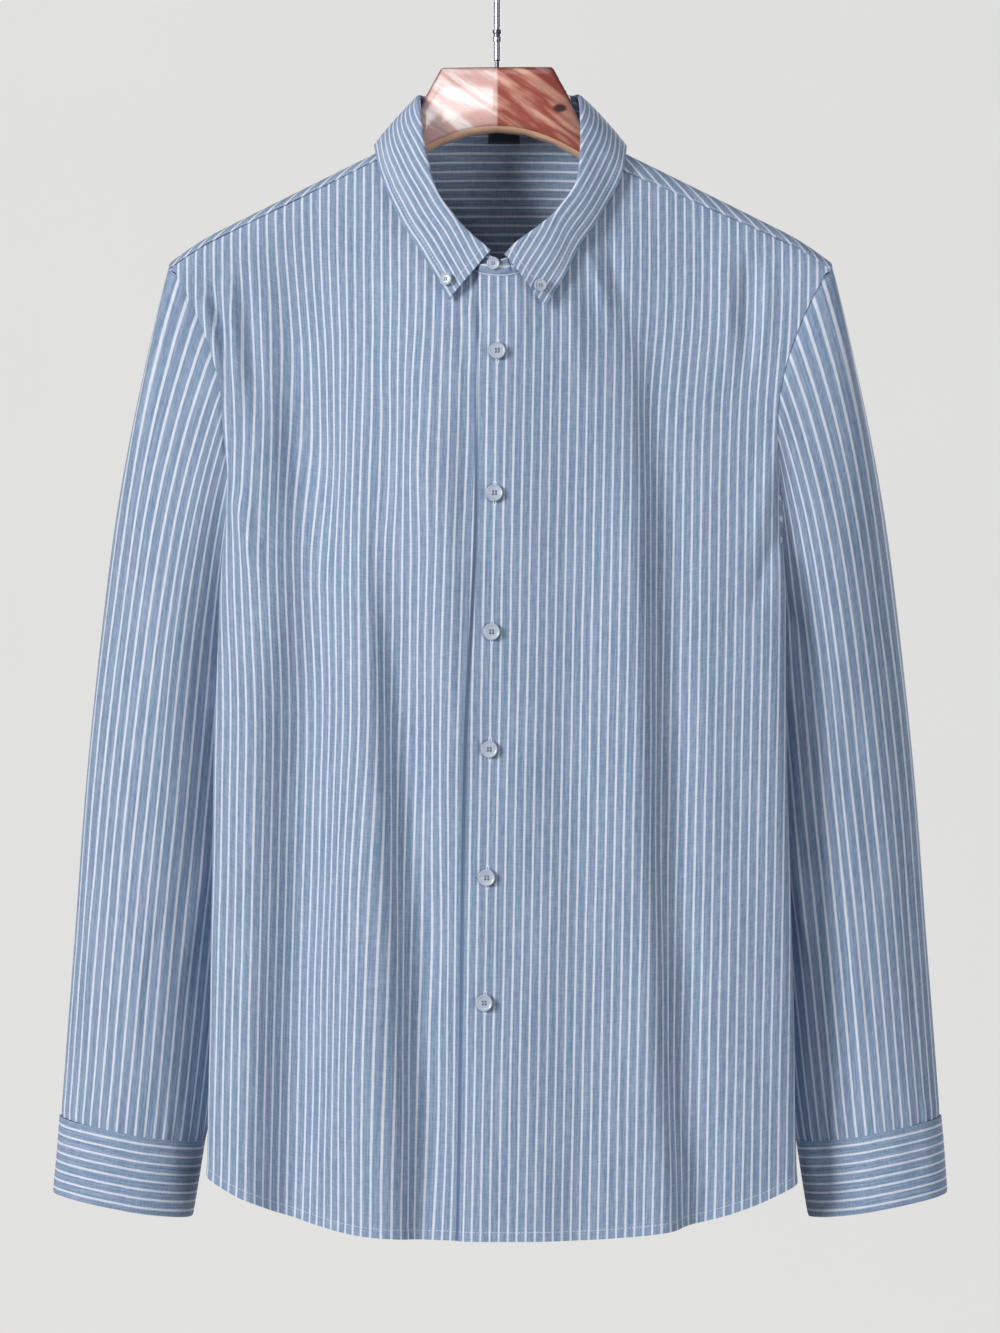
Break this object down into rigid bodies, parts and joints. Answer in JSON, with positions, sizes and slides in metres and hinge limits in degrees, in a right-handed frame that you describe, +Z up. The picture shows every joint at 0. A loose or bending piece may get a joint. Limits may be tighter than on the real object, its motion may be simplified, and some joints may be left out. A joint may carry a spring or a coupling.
{
  "type": "long-sleeved button-up shirt on a wooden hanger",
  "caption": "Striped long-sleeved button-up shirt with a button-down collar and curved hem, hanging open-necked on a wooden hanger with a metal hook.",
  "frame": {"origin": "the inner top of the hanger's hook, the point that rests on a rail", "axes": "+Z up, -Y towards whoever faces the shirt's front, +X towards the wearer's left along the hanger's arms; the rail runs along Y"},
  "size_m": [0.6354, 0.1692, 0.9256],
  "materials": {
    "cloth_striped": "woven cotton, blue with thin white stripes",
    "label_cloth": "plain dark woven tape",
    "button_plastic": "pearly, polished",
    "wood_red": "lacquered, reddish brown",
    "hook_chrome": "polished"
  },
  "bodies": {
    "root": {"front_right": "cloth_striped", "front_left": "cloth_striped", "back": "cloth_striped", "yoke": "cloth_striped", "collar_stand": "cloth_striped", "collar_leaf": "cloth_striped", "sleeve_right": "cloth_striped", "sleeve_left": "cloth_striped", "cuff_right": "cloth_striped", "cuff_left": "cloth_striped", "sleeve_placket_right": "cloth_striped", "sleeve_placket_left": "cloth_striped", "neck_label": "label_cloth", "front_button_1": "button_plastic", "front_button_2": "button_plastic", "front_button_3": "button_plastic", "front_button_4": "button_plastic", "front_button_5": "button_plastic", "front_button_6": "button_plastic", "stand_button": "button_plastic", "collar_button_right": "button_plastic", "collar_button_left": "button_plastic", "cuff_button_right": "button_plastic", "cuff_button_left": "button_plastic", "hanger_arms": "wood_red", "hanger_ferrule": "hook_chrome", "hanger_hook": "hook_chrome"}
  },
  "joints": []
}
